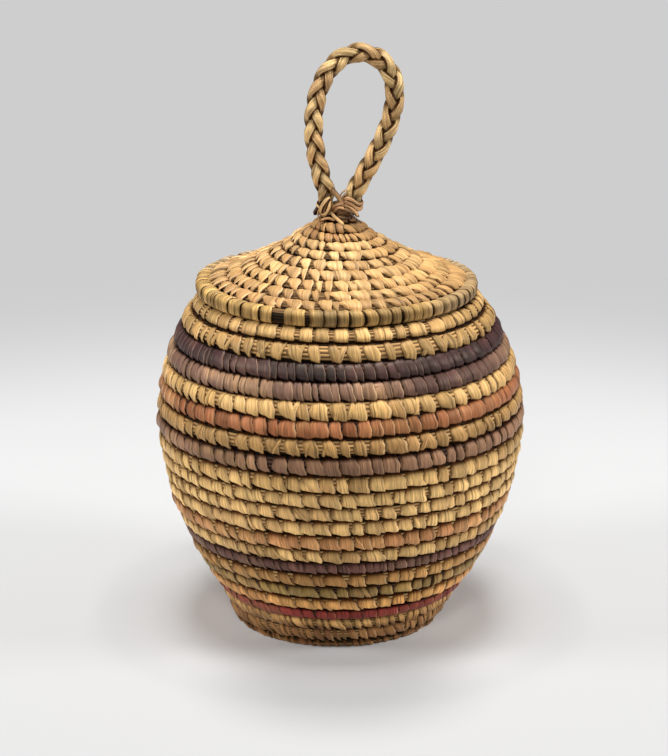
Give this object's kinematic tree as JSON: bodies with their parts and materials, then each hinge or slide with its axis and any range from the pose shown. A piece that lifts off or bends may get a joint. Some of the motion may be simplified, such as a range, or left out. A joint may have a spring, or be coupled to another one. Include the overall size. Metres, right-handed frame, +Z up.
{
  "type": "lidded coiled grass basket",
  "caption": "Round-bellied basket of coiled, stitched grass in coloured bands, with a cone-shaped lift-off lid and a braided loop handle.",
  "frame": {"origin": "on the ground, under the middle of the belly", "axes": "+Z up, -Y towards the viewer of the picture, +X to that viewer's right"},
  "size_m": [0.1506, 0.1485, 0.2414],
  "materials": {
    "straw_grass": "dry undyed grass stitches with a soft sheen",
    "pale_straw_grass": "dry undyed grass stitches, bleached paler",
    "brown_grass": "dry brown grass stitches, worn",
    "red_grass": "grass stitches with a faded brick red dye",
    "gold_grass": "grass stitches with a faded yellow dye",
    "olive_grass": "grass stitches with a faded olive green dye",
    "tan_grass": "dry undyed grass stitches, darker tan",
    "mauve_grass": "grass stitches with a faded mauve dye",
    "pink_grass": "grass stitches with a faded pink dye",
    "slate_grass": "grass stitches with a faded grey dye",
    "rust_grass": "grass stitches with a faded rust dye",
    "pale_plum_grass": "grass stitches with a faded plum dye",
    "plum_grass": "grass stitches with a deep plum dye",
    "handle_grass": "braided dry grass with a soft sheen",
    "tie_grass": "thin brown grass lashing"
  },
  "bodies": {
    "basket": {"base_coil": "brown_grass", "foot_coil": "brown_grass", "red_band": "red_grass", "gold_band": "gold_grass", "olive_band": "olive_grass", "tan_band": "tan_grass", "mauve_band": "mauve_grass", "lower_straw_coil": "straw_grass", "pink_band": "pink_grass", "belly_coil": "straw_grass", "slate_band": "slate_grass", "middle_straw_coil": "straw_grass", "rust_band": "rust_grass", "upper_straw_coil": "straw_grass", "pale_plum_band": "pale_plum_grass", "plum_band": "plum_grass", "mouth_coil": "straw_grass"},
    "lid": {"lid_crown": "brown_grass", "lid_upper_cone": "pale_straw_grass", "lid_lower_cone": "straw_grass", "lid_rim": "gold_grass", "lid_collar": "straw_grass"},
    "handle": {"braid_strand_a": "handle_grass", "braid_strand_b": "handle_grass", "braid_strand_c": "handle_grass", "left_tie": "tie_grass", "right_tie": "tie_grass"}
  },
  "joints": [
    {"name": "lid_lift", "type": "slide", "parent": "basket", "child": "lid", "axis": [0, 0, 1], "range_m": [0, 0.12]},
    {"name": "handle_lean", "type": "hinge", "parent": "lid", "child": "handle", "pos_m": [-0.0005, 0, 0.1722], "axis": [1, 0, 0], "range_deg": [-15, 15], "stiffness_Nm_per_rad": 0.02}
  ]
}
